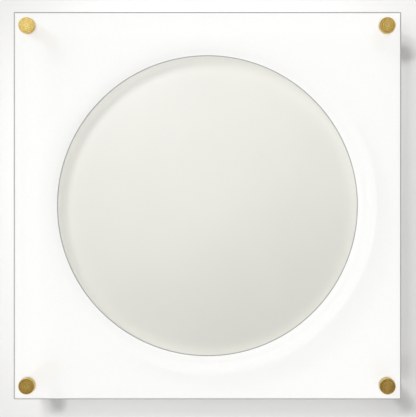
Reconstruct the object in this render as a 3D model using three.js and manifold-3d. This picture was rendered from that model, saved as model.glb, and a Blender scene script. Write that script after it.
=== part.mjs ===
// A floating frame: two clear acrylic panels held off a wall by four brass standoffs.
// Millimetres. +X right, +Z up, +Y into the wall. The origin is the frame's centre on the wall's surface.
// Depths are measured forwards from the wall, so a depth d lies at y = -d.

import * as THREE from 'three';
import { mergeVertices } from 'three/addons/utils/BufferGeometryUtils.js';
import Module from 'manifold-3d';

const wasm = await Module();
wasm.setup();

// ---------------------------------------------------------------- driving dimensions

const inch = 25.4;
const seatGap = 0.1; // between faces that rest on each other

const panelSide = 12 * inch;
const panelThickness = 3;
const panelEdgeChamfer = 0.3;
const holeInset = 11.3; // hole centre to panel edge
const holeRadius = 4.3;

const borderMargin = 0.3; // clear strip between the white layer and the panel's edge
const borderThickness = 0.3;
const windowRadius = 117.5;

const insertRadius = 134;
const ringInnerRadius = 125;
const ringDepth = 5;
const discThickness = 1.5;

const standoffRadius = inch / 4;
const standoffChamfer = 0.4;
const barrelLength = 0.75 * inch;
const barrelBoreRadius = 4.1;
const barrelFloor = 3.5;
const screwHoleRadius = 2.2;

const capHeadHeight = 1.5;
const capEdgeRadius = 0.4;
const capEdgeSteps = 3;
const studRadius = 3.7;
const studEngagement = 10; // length of stud inside the barrel
const studChamfer = 0.8;

const washerThickness = 0.5;
const washerInnerRadius = 4.4;
const washerOuterRadius = 5.2;
const spacerOuterRadius = 6;

const screwShankRadius = 1.75;
const screwHeadRadius = 3.4;
const screwHeadHeight = 2.4;
const screwHeadEdge = 0.9; // straight side of the pan head, below its crown
const screwCrownDrop = 0.3;
const screwCrownRadius = 2.4; // where the crown's slope eases off
const screwTopRadius = 1.2; // the flat in the middle of the crown
const screwLength = 32;
const screwPointLength = 4;
const recessWidth = 0.9;
const recessSpan = 3.8;
const recessDepth = 1.4;

const plugRadius = 3.1;
const plugBoreRadius = 2.1;
const plugRecess = 2.5; // how far the plug's mouth sits below the wall's surface
const plugLength = 30;
const plugTipThickness = 1;
const plugTipTaper = 2.5;
const plugTipRadius = 2.1;

const largeRoundSegments = 96;
const smallRoundSegments = 32;
const holeSegments = 24;

// ---------------------------------------------------------------- depths, from the wall forwards

const barrelFront = barrelLength;
const rearWasherBack = barrelFront + seatGap;
const backPanelBack = rearWasherBack + washerThickness + seatGap;
const backPanelFront = backPanelBack + panelThickness;
const discBack = backPanelFront + seatGap;
const ringBack = discBack + discThickness + seatGap;
const ringFront = ringBack + ringDepth;
const frontPanelBack = ringFront + seatGap;
const frontPanelFront = frontPanelBack + panelThickness;
const borderBack = frontPanelFront + seatGap;
const borderFront = borderBack + borderThickness;
const frontWasherBack = borderFront + seatGap;
const capHeadBack = frontWasherBack + washerThickness + seatGap;
const capHeadFront = capHeadBack + capHeadHeight;
const studEnd = barrelFront - studEngagement;
const screwHeadBack = barrelFloor + seatGap;

// ---------------------------------------------------------------- materials

const finishes = {
  brass: { color: 0xc9a54e, metalness: 1, roughness: 0.32 },
  clearAcrylic: { color: 0xf4f8f7, metalness: 0, roughness: 0.05, transparent: true, opacity: 0.2 },
  whitePrint: { color: 0xfdfdfb, metalness: 0, roughness: 0.35 },
  card: { color: 0xe9e7e1, metalness: 0, roughness: 0.9 },
  whitePlastic: { color: 0xf2f1ec, metalness: 0, roughness: 0.5 },
  nylon: { color: 0xeceae2, metalness: 0, roughness: 0.4, transparent: true, opacity: 0.6 },
  zincSteel: { color: 0xb9bcc0, metalness: 1, roughness: 0.35 },
  plugPlastic: { color: 0xa9adb0, metalness: 0, roughness: 0.6 },
};

const frame = new THREE.Group();

function addNode(name, geometry, finish, x = 0, z = 0) {
  const mesh = new THREE.Mesh(geometry, new THREE.MeshStandardMaterial(finishes[finish]));
  mesh.name = name;
  mesh.position.set(x, 0, z);
  frame.add(mesh);
}

// ---------------------------------------------------------------- shape helpers

// A body of revolution about Y. Each profile point is [radius, depth], and the profile runs
// forwards along the outside of the body.
function turned(profile, segments) {
  const points = profile.map(([radius, depth]) => new THREE.Vector2(radius, -depth));
  return new THREE.LatheGeometry(points.reverse(), segments);
}

function tube(innerRadius, outerRadius, back, front, segments) {
  return turned(
    [
      [innerRadius, front],
      [innerRadius, back],
      [outerRadius, back],
      [outerRadius, front],
      [innerRadius, front],
    ],
    segments,
  );
}

// A square sheet standing in the XZ plane, with round holes given as [x, z, radius, segments].
function squareSheet(side, back, thickness, chamfer, holes) {
  const half = side / 2;
  const outline = new THREE.Shape();
  outline.moveTo(-half, -half);
  outline.lineTo(half, -half);
  outline.lineTo(half, half);
  outline.lineTo(-half, half);
  outline.closePath();

  for (const [x, z, radius, segments] of holes) {
    const circle = new THREE.EllipseCurve(x, z, radius, radius, 0, 2 * Math.PI, true);
    outline.holes.push(new THREE.Path(circle.getPoints(segments).slice(0, -1)));
  }

  const sheet = new THREE.ExtrudeGeometry(outline, {
    depth: thickness - 2 * chamfer,
    bevelEnabled: chamfer > 0,
    bevelThickness: chamfer,
    bevelSize: chamfer,
    bevelOffset: -chamfer,
    bevelSegments: 1,
    curveSegments: 1,
  });
  sheet.rotateX(Math.PI / 2);
  sheet.translate(0, -back - chamfer, 0);
  return sheet;
}

function toManifold(geometry) {
  const bare = geometry.clone();
  bare.deleteAttribute('normal');
  bare.deleteAttribute('uv');
  const merged = mergeVertices(bare);
  return new wasm.Manifold(
    new wasm.Mesh({
      numProp: 3,
      vertProperties: new Float32Array(merged.attributes.position.array),
      triVerts: new Uint32Array(merged.index.array),
    }),
  );
}

function fromManifold(solid) {
  const mesh = solid.getMesh();
  const geometry = new THREE.BufferGeometry();
  geometry.setAttribute('position', new THREE.BufferAttribute(mesh.vertProperties, 3));
  geometry.setIndex(new THREE.BufferAttribute(mesh.triVerts, 1));
  geometry.computeVertexNormals();
  return geometry;
}

// ---------------------------------------------------------------- where the four standoffs are

const holeOffset = panelSide / 2 - holeInset;
const corners = {
  top_left: [-holeOffset, holeOffset],
  top_right: [holeOffset, holeOffset],
  bottom_left: [-holeOffset, -holeOffset],
  bottom_right: [holeOffset, -holeOffset],
};
const fixingHoles = Object.values(corners).map(([x, z]) => [x, z, holeRadius, holeSegments]);

// ---------------------------------------------------------------- panels and what is between them

function panel(back) {
  return squareSheet(panelSide, back, panelThickness, panelEdgeChamfer, fixingHoles);
}

function whiteBorder() {
  const window = [0, 0, windowRadius, largeRoundSegments];
  const side = panelSide - 2 * borderMargin;
  return squareSheet(side, borderBack, borderThickness, 0, [...fixingHoles, window]);
}

function backingDisc() {
  const front = discBack + discThickness;
  return turned(
    [[0, discBack], [insertRadius, discBack], [insertRadius, front], [0, front]],
    largeRoundSegments,
  );
}

function windowRing() {
  return tube(ringInnerRadius, insertRadius, ringBack, ringFront, largeRoundSegments);
}

addNode('back_panel', panel(backPanelBack), 'clearAcrylic');
addNode('backing_disc', backingDisc(), 'card');
addNode('window_ring', windowRing(), 'whitePlastic');
addNode('front_panel', panel(frontPanelBack), 'clearAcrylic');
addNode('white_border', whiteBorder(), 'whitePrint');

// ---------------------------------------------------------------- standoffs

function barrel() {
  const chamfered = standoffRadius - standoffChamfer;
  return turned(
    [
      [barrelBoreRadius, barrelFront],
      [barrelBoreRadius, barrelFloor],
      [screwHoleRadius, barrelFloor],
      [screwHoleRadius, 0],
      [chamfered, 0],
      [standoffRadius, standoffChamfer],
      [standoffRadius, barrelFront - standoffChamfer],
      [chamfered, barrelFront],
      [barrelBoreRadius, barrelFront],
    ],
    smallRoundSegments,
  );
}

// The cap's head, with a rounded front edge, and the stud that screws into the barrel.
function cap() {
  const roundedEdge = [];
  for (let step = 0; step <= capEdgeSteps; step += 1) {
    const angle = (step / capEdgeSteps) * (Math.PI / 2);
    roundedEdge.push([
      standoffRadius - capEdgeRadius * (1 - Math.cos(angle)),
      capHeadFront - capEdgeRadius * (1 - Math.sin(angle)),
    ]);
  }
  return turned(
    [
      [0, studEnd],
      [studRadius - studChamfer, studEnd],
      [studRadius, studEnd + studChamfer],
      [studRadius, capHeadBack],
      [standoffRadius, capHeadBack],
      ...roundedEdge,
      [0, capHeadFront],
    ],
    smallRoundSegments,
  );
}

// A pan-head screw, driven from inside the barrel into the wall.
function wallScrew() {
  const tip = screwHeadBack - screwLength;
  const headFront = screwHeadBack + screwHeadHeight;
  const body = turned(
    [
      [0, tip],
      [screwShankRadius, tip + screwPointLength],
      [screwShankRadius, screwHeadBack],
      [screwHeadRadius, screwHeadBack],
      [screwHeadRadius, screwHeadBack + screwHeadEdge],
      [screwCrownRadius, headFront - screwCrownDrop],
      [screwTopRadius, headFront],
      [0, headFront],
    ],
    smallRoundSegments / 2,
  );
  let screw = toManifold(body);
  for (const [width, height] of [[recessSpan, recessWidth], [recessWidth, recessSpan]]) {
    const slot = new THREE.BoxGeometry(width, 2 * recessDepth, height);
    slot.translate(0, -headFront, 0);
    screw = screw.subtract(toManifold(slot));
  }
  return fromManifold(screw);
}

// A plastic anchor, open at its mouth and closed at its tapered tip.
function wallPlug() {
  const mouth = -plugRecess;
  const tip = mouth - plugLength;
  return turned(
    [
      [0, tip],
      [plugTipRadius, tip],
      [plugRadius, tip + plugTipTaper],
      [plugRadius, mouth],
      [plugBoreRadius, mouth],
      [plugBoreRadius, tip + plugTipThickness],
      [0, tip + plugTipThickness],
    ],
    smallRoundSegments / 2,
  );
}

function washerAt(back) {
  const front = back + washerThickness;
  return tube(washerInnerRadius, washerOuterRadius, back, front, smallRoundSegments);
}

function panelSpacer() {
  return tube(washerInnerRadius, spacerOuterRadius, discBack, ringFront, smallRoundSegments);
}

for (const [corner, [x, z]] of Object.entries(corners)) {
  addNode(`wall_plug_${corner}`, wallPlug(), 'plugPlastic', x, z);
  addNode(`wall_screw_${corner}`, wallScrew(), 'zincSteel', x, z);
  addNode(`barrel_${corner}`, barrel(), 'brass', x, z);
  addNode(`rear_washer_${corner}`, washerAt(rearWasherBack), 'nylon', x, z);
  addNode(`panel_spacer_${corner}`, panelSpacer(), 'brass', x, z);
  addNode(`front_washer_${corner}`, washerAt(frontWasherBack), 'nylon', x, z);
  addNode(`cap_${corner}`, cap(), 'brass', x, z);
}

export default frame;
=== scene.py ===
"""Looks for the floating frame: fine meshes, procedural materials, a wall, soft studio light and a camera.

Metres throughout. +X right, +Z up, +Y into the wall. The frame faces -Y and its barrels stand at y = 0.
"""

import math

import bmesh
import bpy
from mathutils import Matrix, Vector


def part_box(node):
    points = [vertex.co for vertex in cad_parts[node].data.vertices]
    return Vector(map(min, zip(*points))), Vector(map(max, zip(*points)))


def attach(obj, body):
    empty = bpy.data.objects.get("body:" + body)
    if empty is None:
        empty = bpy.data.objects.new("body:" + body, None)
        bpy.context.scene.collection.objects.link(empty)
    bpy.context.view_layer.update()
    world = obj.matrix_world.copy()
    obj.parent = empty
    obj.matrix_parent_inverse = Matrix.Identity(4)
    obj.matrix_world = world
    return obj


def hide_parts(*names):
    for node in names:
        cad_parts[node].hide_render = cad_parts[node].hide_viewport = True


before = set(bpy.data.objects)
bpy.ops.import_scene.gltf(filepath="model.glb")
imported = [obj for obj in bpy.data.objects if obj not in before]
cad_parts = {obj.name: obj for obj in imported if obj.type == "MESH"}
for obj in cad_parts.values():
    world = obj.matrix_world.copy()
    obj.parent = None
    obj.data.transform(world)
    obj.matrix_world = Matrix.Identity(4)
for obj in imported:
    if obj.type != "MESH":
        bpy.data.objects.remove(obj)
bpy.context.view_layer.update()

MM = 0.001
MIDDLE = (0, 0, 0)
CORNERS = ("top_left", "top_right", "bottom_left", "bottom_right")

# ---------------------------------------------------------------- sizes, from the frame


def depth_range(node):
    """(front y, back y) of a CAD node. The front is the side away from the wall."""
    low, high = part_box(node)
    return low.y, high.y


def outer_radius(node):
    low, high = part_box(node)
    return (high.x - low.x) / 2


def axis_of(node):
    """Where a round node's own axis crosses the wall."""
    low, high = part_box(node)
    return Vector(((low.x + high.x) / 2, 0, (low.z + high.z) / 2))


HOLE_CENTRES = {corner: axis_of(f"cap_{corner}") for corner in CORNERS}
HOLE_RADIUS = 4.3 * MM
WINDOW_RADIUS = 117.5 * MM
RING_INNER_RADIUS = 125 * MM
WASHER_INNER_RADIUS = 4.4 * MM

STUD_THREAD_RADIUS = 3.9 * MM
THREAD_PITCH = 1.25 * MM
THREAD_DEPTH = 0.65 * MM
THREAD_CLEARANCE = 0.15 * MM
THREAD_FLAT = 0.12  # share of the pitch that is flat at the crest, and again at the root
CAP_HEAD_HEIGHT = 1.5 * MM
FACING_PITCH = 1.5 * MM  # between the rings that the lathe leaves on a cap's face
FACING_DEPTH = 0.08 * MM
FACING_STEP = 0.125 * MM
BARREL_FLOOR = 3.5 * MM
BORE_PLAIN_LENGTH = 4 * MM  # below the thread
SCREW_HOLE_RADIUS = 2.2 * MM
SCREW_HEAD_HEIGHT = 2.4 * MM
SCREW_CROWN_SHARE = 0.55  # of the head's radius
SCREW_CROWN_FILLET = 1.5 * MM
SCREW_RIM_DROP = 0.9 * MM
SCREW_RIM_FILLET = 0.6 * MM
SCREW_THREAD_RADIUS = 1.95 * MM
SCREW_SHANK_RADIUS = 1.45 * MM
SCREW_THREAD_PITCH = 1.6 * MM
SCREW_POINT_LENGTH = 4 * MM
SCREW_POINT_BLUNTNESS = 0.1 * MM
PLUG_BORE_RADIUS = 2.1 * MM
PLUG_TIP_THICKNESS = 1 * MM
PLUG_TIP_TAPER = 2.5 * MM
PLUG_TIP_NARROWING = 1 * MM
PLUG_RIB_PITCH = 2.4 * MM
PLUG_RIB_DEPTH = 0.45 * MM
PLUG_SLOT_DEPTH = 0.7 * MM
PLUG_SLOT_HALF_ANGLE = 0.22
PLUG_COLLAR_SHARE = 0.12  # of its length, plain at the mouth

PANEL_EDGE_ROUND = 0.3 * MM
PANEL_CORNER_RADIUS = 0.8 * MM
# Widths of the grey keyline, which is also painted shade for the white layer's cut edges.
WINDOW_KEYLINE_AND_SHADE = 0.7 * MM
EDGE_KEYLINE_AND_SHADE = 0.75 * MM
EDGE_BREAK = 0.15 * MM
SMALL_FILLET = 0.2 * MM
TUBE_FILLET = 0.3 * MM
TURNED_FILLET = 0.4 * MM

ROUND_SEGMENTS = 96
WINDOW_SEGMENTS = 288
SCREW_SEGMENTS = 48
PLUG_SEGMENTS = 64
FILLET_STEPS = 4
ROWS_PER_PITCH = 8
SHARP_ANGLE = math.radians(40)
SAME_RADIUS = 1e-6  # radii closer than this are one radius

# ---------------------------------------------------------------- mesh code


def finish_mesh(name, bm, materials, location=MIDDLE):
    """Turns a bmesh into an object with weighted normals, and sharp edges where faces meet at an angle."""
    bmesh.ops.recalc_face_normals(bm, faces=bm.faces)
    mesh = bpy.data.meshes.new(name)
    bm.to_mesh(mesh)
    bm.free()
    for material in materials:
        mesh.materials.append(material)
    mesh.shade_smooth()
    mesh.set_sharp_from_angle(angle=SHARP_ANGLE)
    piece = bpy.data.objects.new(name, mesh)
    piece.location = location
    bpy.context.scene.collection.objects.link(piece)
    normals = piece.modifiers.new("weighted_normals", "WEIGHTED_NORMAL")
    normals.keep_sharp = True
    return piece


def place(piece, node, body):
    """The piece stands for a CAD node and rides on that node's body."""
    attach(piece, body)
    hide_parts(node)


def filleted(corners, closed=False):
    """Rounds a profile of (radius, y, fillet radius) corners. Returns (radius, y) points."""
    points = []
    count = len(corners)
    for index, (radius, y, fillet) in enumerate(corners):
        here = Vector((radius, y))
        is_end = not closed and index in (0, count - 1)
        if fillet == 0 or is_end:
            points.append(here)
            continue
        to_before = (Vector(corners[index - 1][:2]) - here).normalized()
        to_after = (Vector(corners[(index + 1) % count][:2]) - here).normalized()
        half_angle = to_before.angle(to_after) / 2
        reach = fillet / math.tan(half_angle)
        centre = here + (to_before + to_after).normalized() * (fillet / math.sin(half_angle))
        start = here + to_before * reach - centre
        end = here + to_after * reach - centre
        sweep = math.pi - 2 * half_angle
        for step in range(FILLET_STEPS + 1):
            turn = sweep * step / FILLET_STEPS
            points.append(centre + (start * math.sin(sweep - turn) + end * math.sin(turn)) / math.sin(sweep))
    return points


def rows_along(radius, y_from, y_to, step):
    """Profile points up a straight side, close enough together to carry a thread or ribs."""
    count = max(1, round(abs(y_to - y_from) / step))
    return [Vector((radius, y_from + (y_to - y_from) * i / count)) for i in range(count + 1)]


def turned(name, profile, material, closed=False, location=MIDDLE, segments=ROUND_SEGMENTS, relief=None):
    """A body turned about Y from (radius, y) points. relief(angle, radius, y) is cut from the radius."""
    bm = bmesh.new()
    rings = []
    for radius, y in profile:
        if radius < SAME_RADIUS:
            rings.append([bm.verts.new((0, y, 0))])
            continue
        ring = []
        for segment in range(segments):
            angle = math.tau * segment / segments
            cut = relief(angle, radius, y) if relief else 0
            reach = radius - cut
            ring.append(bm.verts.new((reach * math.cos(angle), y, reach * math.sin(angle))))
        rings.append(ring)
    neighbours = list(zip(rings, rings[1:]))
    if closed:
        neighbours.append((rings[-1], rings[0]))
    for lower, upper in neighbours:
        for segment in range(segments):
            following = (segment + 1) % segments
            quad = [
                lower[segment % len(lower)],
                lower[following % len(lower)],
                upper[following % len(upper)],
                upper[segment % len(upper)],
            ]
            bm.faces.new(list(dict.fromkeys(quad)))
    return finish_mesh(name, bm, [material], location)


def thread_relief(pitch, depth, y_low, y_high, at_radius):
    """A right-hand thread between two heights, cut only into the side of the given radius."""

    def relief(angle, radius, y):
        if abs(radius - at_radius) > SAME_RADIUS:
            return 0
        end_distance = min(y - y_low, y_high - y) / pitch
        share = min(max(end_distance, 0), 1)
        phase = (y / pitch + angle / math.tau) % 1
        ridge = min(max((abs(2 * phase - 1) - THREAD_FLAT) / (1 - 2 * THREAD_FLAT), 0), 1)
        return depth * share * (1 - ridge)

    return relief


def rounded_square(half, corner_radius, inset):
    """Outline of a square with rounded corners, drawn inset towards its middle."""
    radius = corner_radius - inset
    reach = half - corner_radius
    steps = 6
    points = []
    for quarter in range(4):
        turn = math.pi / 2 * quarter
        centre_x = reach * (1 if quarter in (0, 3) else -1)
        centre_z = reach * (1 if quarter in (0, 1) else -1)
        for step in range(steps + 1):
            angle = turn + math.pi / 2 * step / steps
            points.append((centre_x + radius * math.cos(angle), centre_z + radius * math.sin(angle)))
    return points


def round_hole(centre_x, centre_z, radius, segments, inset):
    """Outline of a round hole, drawn inset into the sheet, which makes it larger."""
    angles = [math.tau * i / segments for i in range(segments)]
    reach = radius + inset
    return [(centre_x + reach * math.cos(a), centre_z + reach * math.sin(a)) for a in angles]


def rounded_edge_rows(front, back, rounding):
    """(inset, y) rows over a sheet's edge, from its front face to its back face."""
    rows = []
    for step in range(FILLET_STEPS + 1):
        angle = math.pi / 2 * step / FILLET_STEPS
        rows.append((rounding * (1 - math.sin(angle)), front + rounding * (1 - math.cos(angle))))
    return rows + [(inset, front + back - y) for inset, y in reversed(rows)]


def holed_sheet(name, outlines, materials):
    """A flat sheet in the XZ plane. outlines is a list of (outline at an inset, edge rows).

    The two faces and the flat of each edge take the first material, and the rest takes the second.
    """
    bm = bmesh.new()
    front_edges, back_edges = [], []
    for outline_at, rows in outlines:
        rings = [[bm.verts.new((x, y, z)) for x, z in outline_at(inset)] for inset, y in rows]
        count = len(rings[0])
        for (upper, lower), (row, next_row) in zip(zip(rings, rings[1:]), zip(rows, rows[1:])):
            for i in range(count):
                j = (i + 1) % count
                face = bm.faces.new((upper[i], upper[j], lower[j], lower[i]))
                face.material_index = 0 if row[0] == next_row[0] else 1
        for ring, edges in ((rings[0], front_edges), (rings[-1], back_edges)):
            edges += [bm.edges.get((ring[i], ring[(i + 1) % count])) for i in range(count)]
    for edges in (front_edges, back_edges):
        bmesh.ops.triangle_fill(bm, edges=edges, use_beauty=True, use_dissolve=False)
    return finish_mesh(name, bm, materials)


# ---------------------------------------------------------------- material code


class Shader:
    """A material's node tree, with short ways to add and join nodes."""

    def __init__(self, name):
        self.material = bpy.data.materials.new(name)
        self.material.use_nodes = True
        self.nodes = self.material.node_tree.nodes
        self.links = self.material.node_tree.links
        self.nodes.clear()
        self.output = self.nodes.new("ShaderNodeOutputMaterial")

    def add(self, kind, settings=None, **inputs):
        """inputs are named as the sockets are, with _ for a space; an output socket is linked."""
        node = self.nodes.new("ShaderNode" + kind)
        for key, value in (settings or {}).items():
            setattr(node, key, value)
        for key, value in inputs.items():
            self.feed(node.inputs[key.replace("_", " ")], value)
        return node

    def feed(self, socket, value):
        """Links an output socket to an input, or sets the input to a plain value."""
        if isinstance(value, bpy.types.NodeSocket):
            self.links.new(value, socket)
        else:
            socket.default_value = value

    def coordinates(self):
        """Places in the piece's own space, in metres."""
        return self.add("TexCoord").outputs["Object"]

    def noise(self, scale, detail, **inputs):
        """Noise from 0 to 1 over the piece's own space."""
        node = self.add("TexNoise", Vector=self.coordinates(), Scale=scale, Detail=detail, **inputs)
        return node.outputs["Fac"]

    def bump(self, height, strength, distance):
        return self.add("Bump", Height=height, Strength=strength, Distance=distance).outputs["Normal"]

    def math(self, operation, first, second=0.0):
        node = self.nodes.new("ShaderNodeMath")
        node.operation = operation
        for socket, value in zip(node.inputs, (first, second)):
            self.feed(socket, value)
        return node.outputs[0]

    def ramp(self, factor, low, high, low_colour, high_colour):
        """A colour that goes from one to the other as the factor goes from low to high."""
        node = self.nodes.new("ShaderNodeValToRGB")
        self.links.new(factor, node.inputs["Fac"])
        stops = node.color_ramp.elements
        for stop, position, colour in zip(stops, (low, high), (low_colour, high_colour)):
            stop.position = position
            stop.color = (*colour, 1)
        return node.outputs["Color"]

    def between(self, factor, low, high):
        """A number from low to high as the factor goes from 0 to 1."""
        node = self.nodes.new("ShaderNodeMapRange")
        self.links.new(factor, node.inputs["Value"])
        node.inputs["To Min"].default_value = low
        node.inputs["To Max"].default_value = high
        return node.outputs["Result"]

    def mix(self, factor, first, second):
        """Two shaders mixed. factor is a number or a socket."""
        node = self.nodes.new("ShaderNodeMixShader")
        for socket, value in zip(node.inputs, (factor, first, second)):
            self.feed(socket, value)
        return node.outputs[0]

    def finish(self, surface):
        self.links.new(surface, self.output.inputs["Surface"])
        return self.material


def turning_marks(shader, lines_per_metre):
    """A fine grain that runs round the piece's own Y axis, on its faces and its sides alike."""
    parts = shader.add("SeparateXYZ", Vector=shader.coordinates())
    across = shader.math("MULTIPLY", parts.outputs["X"], parts.outputs["X"])
    upward = shader.math("MULTIPLY", parts.outputs["Z"], parts.outputs["Z"])
    radius = shader.math("SQRT", shader.math("ADD", across, upward))
    lathe_place = shader.add("CombineXYZ", X=radius, Y=parts.outputs["Y"])
    grain = shader.add(
        "TexNoise",
        {"noise_dimensions": "2D"},
        Vector=lathe_place.outputs[0],
        Scale=lines_per_metre,
        Detail=3.0,
        Roughness=0.6,
    )
    return grain.outputs["Fac"]


def round_tangent(shader):
    """Turned metal is scored round its axis, so its highlights spread out like spokes."""
    tangent = shader.add("Tangent", {"direction_type": "RADIAL", "axis": "Y"})
    return tangent.outputs[0]


def brushed_brass():
    shader = Shader("brushed_brass")
    grain = turning_marks(shader, lines_per_metre=1500)
    tarnish = shader.noise(380.0, 3.0, Roughness=0.55)
    tone = shader.math("ADD", shader.math("MULTIPLY", tarnish, 0.6), shader.math("MULTIPLY", grain, 0.4))
    colour = shader.ramp(tone, 0.35, 0.65, (0.6, 0.4, 0.1), (0.9, 0.67, 0.25))
    surface = shader.add(
        "BsdfPrincipled",
        Base_Color=colour,
        Metallic=1.0,
        Roughness=shader.between(grain, 0.18, 0.34),
        Anisotropic=0.85,
        Tangent=round_tangent(shader),
        Normal=shader.bump(grain, 0.4, 0.03 * MM),
    )
    return shader.finish(surface.outputs[0])


def zinc_steel():
    shader = Shader("zinc_steel")
    grain = turning_marks(shader, lines_per_metre=3600)
    blotches = shader.noise(520.0, 4.0)
    colour = shader.ramp(blotches, 0.3, 0.7, (0.46, 0.48, 0.5), (0.7, 0.71, 0.72))
    surface = shader.add(
        "BsdfPrincipled",
        Base_Color=colour,
        Metallic=1.0,
        Roughness=shader.between(grain, 0.25, 0.45),
        Anisotropic=0.6,
        Tangent=round_tangent(shader),
        Normal=shader.bump(grain, 0.25, 0.02 * MM),
    )
    return shader.finish(surface.outputs[0])


def see_through(shader, tint, surface, facing_share, edge_share):
    """A clear sheet: what is behind it shows, and more is reflected as it turns edge on."""
    slant = shader.add("LayerWeight", Blend=0.5).outputs["Facing"]
    steep = shader.math("POWER", slant, 4.0)
    share = shader.between(steep, facing_share, edge_share)
    clear = shader.add("BsdfTransparent", Color=(*tint, 1))
    return shader.mix(share, clear.outputs[0], surface)


def clear_acrylic():
    shader = Shader("clear_acrylic")
    haze = shader.noise(30.0, 4.0)
    gloss = shader.add(
        "BsdfPrincipled",
        Base_Color=(0.96, 0.97, 0.97, 1),
        Roughness=shader.between(haze, 0.03, 0.07),
        Specular_IOR_Level=1.0,
        Metallic=1.0,
    )
    return shader.finish(see_through(shader, (0.995, 0.996, 0.995), gloss.outputs[0], 0.035, 0.6))


def acrylic_edge():
    """The sheet's polished edge shows as a soft grey line. Its grey is painted shade: it stands in for the
    darker room that the clear edge mirrors.
    """
    shader = Shader("acrylic_edge")
    stretched = shader.add("VectorMath", {"operation": "MULTIPLY"})
    shader.feed(stretched.inputs[0], shader.coordinates())
    shader.feed(stretched.inputs[1], (300, 4000, 300))
    polish = shader.add("TexNoise", Vector=stretched.outputs[0], Scale=1.0, Detail=2.0)
    # Painted shade: this grey gives the clear edge the dark look of the room it mirrors.
    colour = shader.ramp(polish.outputs["Fac"], 0.3, 0.7, (0.36, 0.37, 0.37), (0.46, 0.47, 0.47))
    body = shader.add(
        "BsdfPrincipled",
        Base_Color=colour,
        Roughness=0.18,
        Normal=shader.bump(polish.outputs["Fac"], 0.1, 0.02 * MM),
    )
    clear = shader.add("BsdfTransparent", Color=(0.93, 0.94, 0.94, 1))
    return shader.finish(shader.mix(0.75, clear.outputs[0], body.outputs[0]))


def thin_layer(shader, share, surface):
    """One layer's worth of a print: rays that meet it from inside pass straight through."""
    clear = shader.add("BsdfTransparent", Color=(1, 1, 1, 1)).outputs[0]
    inside = shader.add("NewGeometry").outputs["Backfacing"]
    seen = shader.mix(share, clear, surface)
    return shader.mix(inside, seen, clear)


def white_print():
    shader = Shader("white_print")
    grain = shader.noise(900.0, 3.0)
    colour = shader.ramp(grain, 0.3, 0.7, (0.955, 0.955, 0.95), (0.975, 0.975, 0.97))
    ink = shader.add("BsdfPrincipled", Base_Color=colour, Roughness=0.6, Specular_IOR_Level=0.1)
    glow = shader.add("BsdfTranslucent", Color=(0.95, 0.95, 0.94, 1))
    body = shader.mix(0.05, ink.outputs[0], glow.outputs[0])
    return shader.finish(thin_layer(shader, 0.89, body))


def keyline_and_edge_shade():
    """A thin grey keyline printed along both edges of the white layer. Its grey is also painted shade, for
    the dark look of the cut edges.
    """
    shader = Shader("print_keyline_and_edge_shade")
    grain = shader.noise(1400.0, 2.0)
    # The grey is partly painted shade, for the dark look of the cut edges.
    colour = shader.ramp(grain, 0.3, 0.7, (0.32, 0.32, 0.32), (0.38, 0.38, 0.38))
    ink = shader.add("BsdfPrincipled", Base_Color=colour, Roughness=0.6, Specular_IOR_Level=0.1)
    return shader.finish(ink.outputs[0])


def card():
    """Warm off-white paper board, with short fibres and a soft tooth."""
    shader = Shader("card")
    clouds = shader.noise(14.0, 3.0)
    fibres = shader.noise(1500.0, 5.0, Distortion=1.5)
    tone = shader.math("ADD", shader.math("MULTIPLY", clouds, 0.5), shader.math("MULTIPLY", fibres, 0.5))
    colour = shader.ramp(tone, 0.3, 0.7, (0.7, 0.695, 0.66), (0.75, 0.745, 0.71))
    paper = shader.add(
        "BsdfPrincipled",
        Base_Color=colour,
        Roughness=0.9,
        Specular_IOR_Level=0.2,
        Normal=shader.bump(fibres, 0.25, 0.05 * MM),
    )
    return shader.finish(paper.outputs[0])


def white_plastic():
    shader = Shader("white_plastic")
    grain = turning_marks(shader, lines_per_metre=1800)
    colour = shader.ramp(grain, 0.3, 0.7, (0.64, 0.64, 0.63), (0.7, 0.7, 0.69))
    surface = shader.add(
        "BsdfPrincipled",
        Base_Color=colour,
        Roughness=shader.between(grain, 0.42, 0.58),
        Normal=shader.bump(grain, 0.2, 0.03 * MM),
    )
    return shader.finish(surface.outputs[0])


def clear_nylon():
    shader = Shader("clear_nylon")
    grain = turning_marks(shader, lines_per_metre=2600)
    colour = shader.ramp(grain, 0.3, 0.7, (0.8, 0.8, 0.76), (0.88, 0.88, 0.85))
    surface = shader.add(
        "BsdfPrincipled",
        Base_Color=colour,
        Roughness=shader.between(grain, 0.3, 0.45),
    )
    clear = shader.add("BsdfTransparent", Color=(0.95, 0.95, 0.93, 1))
    return shader.finish(shader.mix(0.6, clear.outputs[0], surface.outputs[0]))


def plug_plastic():
    shader = Shader("plug_plastic")
    speckle = shader.noise(700.0, 4.0)
    colour = shader.ramp(speckle, 0.3, 0.7, (0.34, 0.36, 0.38), (0.42, 0.44, 0.46))
    surface = shader.add(
        "BsdfPrincipled",
        Base_Color=colour,
        Roughness=shader.between(speckle, 0.45, 0.65),
        Normal=shader.bump(speckle, 0.3, 0.05 * MM),
    )
    return shader.finish(surface.outputs[0])


BRASS = brushed_brass()
STEEL = zinc_steel()
ACRYLIC = clear_acrylic()
ACRYLIC_EDGE = acrylic_edge()
PRINT = white_print()
KEYLINE_AND_EDGE_SHADE = keyline_and_edge_shade()
CARD = card()
WHITE_PLASTIC = white_plastic()
NYLON = clear_nylon()
PLUG_PLASTIC = plug_plastic()

# ---------------------------------------------------------------- panels and what is between them


def fixing_holes(rows):
    holes = []
    for centre in HOLE_CENTRES.values():
        def outline(inset, centre=centre):
            return round_hole(centre.x, centre.z, HOLE_RADIUS, ROUND_SEGMENTS, inset)
        holes.append((outline, rows))
    return holes


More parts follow.
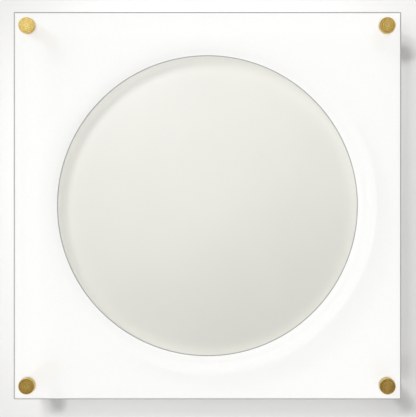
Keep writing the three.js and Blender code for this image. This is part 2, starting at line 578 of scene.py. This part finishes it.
def acrylic_panel(node):
    front, back = depth_range(node)
    half = outer_radius(node)
    rows = rounded_edge_rows(front, back, PANEL_EDGE_ROUND)
    edge = (lambda inset: rounded_square(half, PANEL_CORNER_RADIUS, inset), rows)
    piece = holed_sheet(f"{node}_sheet", [edge, *fixing_holes(rows)], [ACRYLIC, ACRYLIC_EDGE])
    place(piece, node, node)


def keyline_and_shade_rows(front, back, width):
    """A strip of the front face, the edge itself, and a strip of the back face."""
    return [(width, front), (0, front), (0, back), (width, back)]


def white_border():
    """The white layer, with a grey keyline as narrow strips of faces along its two edges. The keyline is
    also painted shade for the cut edges.
    """
    front, back = depth_range("white_border")
    half = outer_radius("white_border")
    edge_rows = keyline_and_shade_rows(front, back, EDGE_KEYLINE_AND_SHADE)
    window_rows = keyline_and_shade_rows(front, back, WINDOW_KEYLINE_AND_SHADE)
    edge = (lambda inset: rounded_square(half, PANEL_CORNER_RADIUS, inset), edge_rows)
    window = (lambda inset: round_hole(0, 0, WINDOW_RADIUS, WINDOW_SEGMENTS, inset), window_rows)
    holes = fixing_holes([(0, front), (0, back)])
    piece = holed_sheet("white_border_layer", [edge, *holes, window], [PRINT, KEYLINE_AND_EDGE_SHADE])
    place(piece, "white_border", "front_panel")
    return piece


def backing_disc():
    front, back = depth_range("backing_disc")
    radius = outer_radius("backing_disc")
    profile = [(0, back, 0), (radius, back, SMALL_FILLET), (radius, front, SMALL_FILLET), (0, front, 0)]
    piece = turned("backing_disc_board", filleted(profile), CARD, segments=WINDOW_SEGMENTS)
    place(piece, "backing_disc", "insert")
    return piece


def tube_profile(inner, outer, front, back, fillet):
    corners = [(inner, front, fillet), (inner, back, fillet), (outer, back, fillet), (outer, front, fillet)]
    return filleted(corners, closed=True)


def window_ring():
    front, back = depth_range("window_ring")
    profile = tube_profile(RING_INNER_RADIUS, outer_radius("window_ring"), front, back, TUBE_FILLET)
    piece = turned("window_ring_turned", profile, WHITE_PLASTIC, closed=True, segments=WINDOW_SEGMENTS)
    place(piece, "window_ring", "insert")


# ---------------------------------------------------------------- standoffs


def small_tube(node, name, body, material, fillet):
    front, back = depth_range(node)
    profile = tube_profile(WASHER_INNER_RADIUS, outer_radius(node), front, back, fillet)
    piece = turned(name, profile, material, closed=True, location=axis_of(node))
    place(piece, node, body)


def panel_spacer(corner):
    name = f"panel_spacer_turned_{corner}"
    small_tube(f"panel_spacer_{corner}", name, "insert", BRASS, TUBE_FILLET)


def washer(side, corner, body):
    name = f"{side}_washer_ring_{corner}"
    small_tube(f"{side}_washer_{corner}", name, body, NYLON, SMALL_FILLET)


def faced_rows(front, radius):
    """The shallow rings that facing on a lathe leaves, from the middle of a flat face to its rim."""
    count = round(radius / FACING_STEP)
    rows = []
    for i in range(1, count):
        across = i * FACING_STEP
        turn = math.tau * across / FACING_PITCH
        rows.append(Vector((across, front + FACING_DEPTH * (1 - math.cos(turn)) / 2)))
    return rows


def cap(corner):
    """The head has a faced front and a rounded rim; the stud behind it carries the thread."""
    node = f"cap_{corner}"
    front, stud_end = depth_range(node)
    head_back = front + CAP_HEAD_HEIGHT
    radius = outer_radius(node)
    tip = STUD_THREAD_RADIUS - THREAD_DEPTH
    step = THREAD_PITCH / ROWS_PER_PITCH
    head = filleted(
        [
            (0, front, 0),
            (radius, front, TURNED_FILLET),
            (radius, head_back, EDGE_BREAK),
            (STUD_THREAD_RADIUS, head_back, 0),
        ]
    )
    stud = rows_along(STUD_THREAD_RADIUS, head_back, stud_end - THREAD_DEPTH, step)
    faced = faced_rows(front, radius - TURNED_FILLET)
    profile = [head[0], *faced, *head[1:], *stud[1:], Vector((tip, stud_end)), Vector((0, stud_end))]
    relief = thread_relief(
        THREAD_PITCH, THREAD_DEPTH, head_back, stud_end + THREAD_PITCH, STUD_THREAD_RADIUS
    )
    piece = turned(f"cap_turned_{corner}", profile, BRASS, location=axis_of(node), relief=relief)
    place(piece, node, f"cap_{corner}")
    return piece


def barrel(corner):
    node = f"barrel_{corner}"
    mouth, foot = depth_range(node)
    radius = outer_radius(node)
    bore = STUD_THREAD_RADIUS + THREAD_CLEARANCE
    floor = foot - BARREL_FLOOR
    thread_end = floor - BORE_PLAIN_LENGTH
    step = THREAD_PITCH / ROWS_PER_PITCH
    outside = filleted(
        [
            (bore, floor, 0),
            (SCREW_HOLE_RADIUS, floor, SMALL_FILLET),
            (SCREW_HOLE_RADIUS, foot, SMALL_FILLET),
            (radius, foot, TURNED_FILLET),
            (radius, mouth, TURNED_FILLET),
            (bore, mouth, 0),
        ]
    )
    threaded_bore = rows_along(bore, mouth, thread_end, step)
    relief = thread_relief(THREAD_PITCH, THREAD_DEPTH, mouth, thread_end, bore)
    profile = [*outside, *threaded_bore[1:]]
    name = f"barrel_turned_{corner}"
    piece = turned(name, profile, BRASS, closed=True, location=axis_of(node), relief=relief)
    place(piece, node, "root")


def wall_screw(corner):
    """A plain pan head, a coarse thread and a conical point."""
    node = f"wall_screw_{corner}"
    head_front, point = depth_range(node)
    head_back = head_front + SCREW_HEAD_HEIGHT
    radius = outer_radius(node)
    thread_end = point - SCREW_POINT_LENGTH
    step = SCREW_THREAD_PITCH / ROWS_PER_PITCH
    thread_depth = SCREW_THREAD_RADIUS - SCREW_SHANK_RADIUS
    head = filleted(
        [
            (0, head_front, 0),
            (radius * SCREW_CROWN_SHARE, head_front, SCREW_CROWN_FILLET),
            (radius, head_front + SCREW_RIM_DROP, SCREW_RIM_FILLET),
            (radius, head_back, EDGE_BREAK),
            (SCREW_THREAD_RADIUS, head_back, 0),
        ]
    )
    shank = rows_along(SCREW_THREAD_RADIUS, head_back, thread_end, step)
    blunt_point = Vector((SCREW_POINT_BLUNTNESS, point - SCREW_POINT_BLUNTNESS))
    profile = [*head, *shank[1:], blunt_point, Vector((0, point))]
    threads = thread_relief(
        SCREW_THREAD_PITCH, thread_depth, head_back, thread_end + SCREW_THREAD_PITCH, SCREW_THREAD_RADIUS
    )
    name = f"wall_screw_turned_{corner}"
    piece = turned(
        name, profile, STEEL, location=axis_of(node), segments=SCREW_SEGMENTS, relief=threads
    )
    place(piece, node, "root")


def plug_relief(mouth, tip, outer):
    """Barbed ribs round the plug, and the slot down both of its sides that lets it spread."""

    def relief(angle, radius, y):
        if abs(radius - outer) > SAME_RADIUS:
            return 0
        along = (y - mouth) / (tip - mouth)
        if along < PLUG_COLLAR_SHARE:
            return 0
        rib = PLUG_RIB_DEPTH * (((y - mouth) / PLUG_RIB_PITCH) % 1)
        off_side = abs((angle + math.pi / 2) % math.pi - math.pi / 2)
        slot = PLUG_SLOT_DEPTH if off_side < PLUG_SLOT_HALF_ANGLE else 0
        return max(rib, slot)

    return relief


def wall_plug(corner):
    node = f"wall_plug_{corner}"
    mouth, tip = depth_range(node)
    radius = outer_radius(node)
    side = rows_along(radius, mouth, tip - PLUG_TIP_TAPER, PLUG_RIB_PITCH / ROWS_PER_PITCH)
    profile = [
        Vector((0, tip - PLUG_TIP_THICKNESS)),
        Vector((PLUG_BORE_RADIUS, tip - PLUG_TIP_THICKNESS)),
        Vector((PLUG_BORE_RADIUS, mouth)),
        *side,
        Vector((radius - PLUG_TIP_NARROWING, tip)),
        Vector((0, tip)),
    ]
    name = f"wall_plug_moulded_{corner}"
    relief = plug_relief(mouth, tip, radius)
    piece = turned(
        name, profile, PLUG_PLASTIC, location=axis_of(node), segments=PLUG_SEGMENTS, relief=relief
    )
    place(piece, node, "root")


acrylic_panel("back_panel")
acrylic_panel("front_panel")
border_layer = white_border()
card_board = backing_disc()
window_ring()
caps = [cap(corner) for corner in CORNERS]
for corner in CORNERS:
    barrel(corner)
    wall_screw(corner)
    wall_plug(corner)
    panel_spacer(corner)
    washer("rear", corner, "root")
    washer("front", corner, f"washer_{corner}")

# ---------------------------------------------------------------- stage, light and camera

scene = bpy.context.scene
scene.view_settings.view_transform = "Standard"
scene.cycles.transparent_max_bounces = 24

WALL_SIZE = 5.0
WALL_GAP = 0.2 * MM  # keeps the wall clear of the barrels' feet
FLOOR_SIZE = 3.0
FLOOR_DROP = 1.5


def stage_plane(name, size, location, rotation, material):
    bm = bmesh.new()
    bmesh.ops.create_grid(bm, x_segments=1, y_segments=1, size=size / 2)
    mesh = bpy.data.meshes.new(name)
    bm.to_mesh(mesh)
    bm.free()
    mesh.materials.append(material)
    plane = bpy.data.objects.new(name, mesh)
    plane.location = location
    plane.rotation_euler = rotation
    scene.collection.objects.link(plane)
    return plane


def wall_paint():
    """Matt pale paint on the side that faces the room; the wall can be looked through from behind."""
    shader = Shader("wall_paint")
    roller_marks = shader.bump(shader.noise(900.0, 3.0), 0.04, 0.2 * MM)
    paint = shader.add("BsdfDiffuse", Color=(0.8, 0.8, 0.8, 1), Normal=roller_marks)
    clear = shader.add("BsdfTransparent")
    behind = shader.add("NewGeometry").outputs["Backfacing"]
    return shader.finish(shader.mix(behind, paint.outputs[0], clear.outputs[0]))


def floor_paint():
    shader = Shader("floor_paint")
    clouds = shader.noise(3.0, 2.0)
    colour = shader.ramp(clouds, 0.3, 0.7, (0.78, 0.78, 0.77), (0.82, 0.82, 0.81))
    return shader.finish(shader.add("BsdfDiffuse", Color=colour).outputs[0])


wall = stage_plane("wall", WALL_SIZE, (0, WALL_GAP, 0), (math.pi / 2, 0, 0), wall_paint())
stage_plane("floor", FLOOR_SIZE, (0, -FLOOR_SIZE / 2, -FLOOR_DROP), (0, 0, 0), floor_paint())


SOFT_WHITE = (1, 0.998, 0.992)
WARM = (1, 0.985, 0.96)


def light_group(name, pieces, state):
    group = bpy.data.collections.new(name)
    for piece in pieces:
        group.objects.link(piece)
    for entry in group.collection_objects:
        entry.light_linking.link_state = state
    return group


def softbox(name, power, direction, distance, size, reaches, passes=(), aim_at=MIDDLE,
            colour=SOFT_WHITE, glossy=False):
    """A round area light that shines along a direction at a point. The camera doesn't see it.

    reaches is (pieces, INCLUDE or EXCLUDE). passes are the pieces that cast no shadow in this light.
    glossy says whether shiny surfaces mirror it.
    """
    lamp = bpy.data.lights.new(name, "AREA")
    lamp.shape = "DISK"
    lamp.size = size
    lamp.energy = power
    lamp.color = colour
    light = bpy.data.objects.new(name, lamp)
    aim = Vector(direction).normalized()
    light.location = Vector(aim_at) - aim * distance
    light.rotation_euler = aim.to_track_quat("-Z", "Y").to_euler()
    light.visible_camera = False
    light.visible_glossy = glossy
    light.light_linking.receiver_collection = light_group(f"{name}_reaches", *reaches)
    if passes:
        light.light_linking.blocker_collection = light_group(f"{name}_passes", passes, "EXCLUDE")
    scene.collection.objects.link(light)


def soft_light(name, through, power, **placing):
    """A softbox in two lamps. The second is the share that comes through the white layer."""
    softbox(name, power * (1 - through), **placing)
    softbox(f"{name}_through", power * through, passes=(border_layer,), **placing)


ON_WALL = ([wall], "INCLUDE")
ON_CARD = ([card_board], "INCLUDE")
ON_CAPS = (caps, "INCLUDE")
ON_THE_REST = ([wall, card_board], "EXCLUDE")
OFF_WALL = ([wall], "EXCLUDE")
# A lamp close to the upper left corner. It faces away to the lower right, so that it lights evenly.
NEAR_LAMP_AT = Vector((-0.23, -0.555, 0.32))


def from_near_lamp(direction):
    direction = Vector(direction)
    return dict(aim_at=NEAR_LAMP_AT + direction, direction=direction, distance=direction.length)


soft_light("key", 0.66, 5.75, size=0.14, reaches=ON_WALL, **from_near_lamp((0.35, 0.012, -0.35)))
soft_light("key_on_card", 0.63, 10.5, size=0.6, reaches=ON_CARD, **from_near_lamp((0.35, -0.045, -0.35)))
soft_light("left_window", 0.5, 79, direction=(0.6, 1, 0.15), distance=5, size=2.5, reaches=ON_WALL)
soft_light("top_window", 0.5, 60, direction=(0.25, 1, -0.8), distance=5, size=2.5, reaches=ON_WALL)
soft_light("front_fill", 0.8, 36, direction=(-0.15, 1, 0.08), distance=2, size=1.2, reaches=ON_THE_REST)
softbox("glint_left", 0.18, (0.545, 0.665, -0.51), distance=1.5, size=0.3, reaches=ON_CAPS, glossy=True)
softbox("glint_low", 0.2, (-0.31, 0.91, 0.22), distance=1.5, size=0.25, reaches=ON_CAPS, glossy=True)
softbox("back_fill", 8, (0.4, -1, -0.5), distance=1.6, size=0.8, reaches=OFF_WALL, passes=(wall,),
        colour=WARM)
softbox("rim_light", 2, (0.61, 0.35, -0.71), distance=1.5, size=0.5, reaches=ON_THE_REST, glossy=True)


ROOM_BRIGHT_SIDE = (-0.45, -0.6, 0.66)
ROOM_TONES = (
    (0.1, (0.25, 0.16, 0.03)),
    (0.5, (0.42, 0.35, 0.17)),
    (1.0, (1.1, 1.18, 1.25)),
)
BACKDROP_GREY = 0.8
BACKDROP_SEEN = 1.0
BACKDROP_ON_MATT = 0.15


def room_light():
    """The room that shiny surfaces mirror is brighter and cooler to the upper left, and warm below.

    The camera sees a plain pale backdrop, and matt surfaces get a little even light from it.
    """
    world = bpy.data.worlds.new("room")
    scene.world = world
    world.cycles.sampling_method = "NONE"
    world.use_nodes = True
    nodes, links = world.node_tree.nodes, world.node_tree.links
    nodes.clear()
    output = nodes.new("ShaderNodeOutputWorld")
    mirrored = nodes.new("ShaderNodeBackground")
    backdrop = nodes.new("ShaderNodeBackground")
    backdrop.inputs["Color"].default_value = (BACKDROP_GREY, BACKDROP_GREY, BACKDROP_GREY, 1)
    direction = nodes.new("ShaderNodeTexCoord")
    lobe = nodes.new("ShaderNodeVectorMath")
    lobe.operation = "DOT_PRODUCT"
    lobe.inputs[1].default_value = Vector(ROOM_BRIGHT_SIDE).normalized()
    ramp = nodes.new("ShaderNodeValToRGB")
    stops = ramp.color_ramp.elements
    stops.new(0.5)
    for stop, (position, colour) in zip(stops, ROOM_TONES):
        stop.position = position
        stop.color = (*colour, 1)
    path = nodes.new("ShaderNodeLightPath")
    strength = nodes.new("ShaderNodeMapRange")
    strength.inputs["To Min"].default_value = BACKDROP_ON_MATT
    strength.inputs["To Max"].default_value = BACKDROP_SEEN
    chosen = nodes.new("ShaderNodeMixShader")
    links.new(path.outputs["Is Camera Ray"], strength.inputs["Value"])
    links.new(strength.outputs["Result"], backdrop.inputs["Strength"])
    links.new(direction.outputs["Generated"], lobe.inputs[0])
    links.new(lobe.outputs["Value"], ramp.inputs["Fac"])
    links.new(ramp.outputs["Color"], mirrored.inputs["Color"])
    links.new(path.outputs["Is Glossy Ray"], chosen.inputs[0])
    links.new(backdrop.outputs[0], chosen.inputs[1])
    links.new(mirrored.outputs[0], chosen.inputs[2])
    links.new(chosen.outputs[0], output.inputs["Surface"])


room_light()

CAMERA_DISTANCE = 0.334  # from the caps' faces
CAMERA_RIGHT = 0.058
CAMERA_UP = 0.0106
VIEW_SIZE = 0.328  # what the frame's longer side covers at the front panel
VIEW_CENTRE = (0.0004, -0.0022)


def make_camera():
    """Square on to the wall and off to the right, with the lens shifted back over the frame."""
    cap_front = depth_range("cap_top_left")[0]
    panel_front = depth_range("front_panel")[0]
    lens = bpy.data.cameras.new("camera")
    camera = bpy.data.objects.new("camera", lens)
    camera.location = (CAMERA_RIGHT, cap_front - CAMERA_DISTANCE, CAMERA_UP)
    camera.rotation_euler = (math.pi / 2, 0, 0)
    lens.lens = lens.sensor_width * (panel_front - camera.location.y) / VIEW_SIZE
    lens.shift_x = (VIEW_CENTRE[0] - CAMERA_RIGHT) / VIEW_SIZE
    lens.shift_y = (VIEW_CENTRE[1] - CAMERA_UP) / VIEW_SIZE
    lens.clip_start = 0.01
    scene.collection.objects.link(camera)
    scene.camera = camera


make_camera()
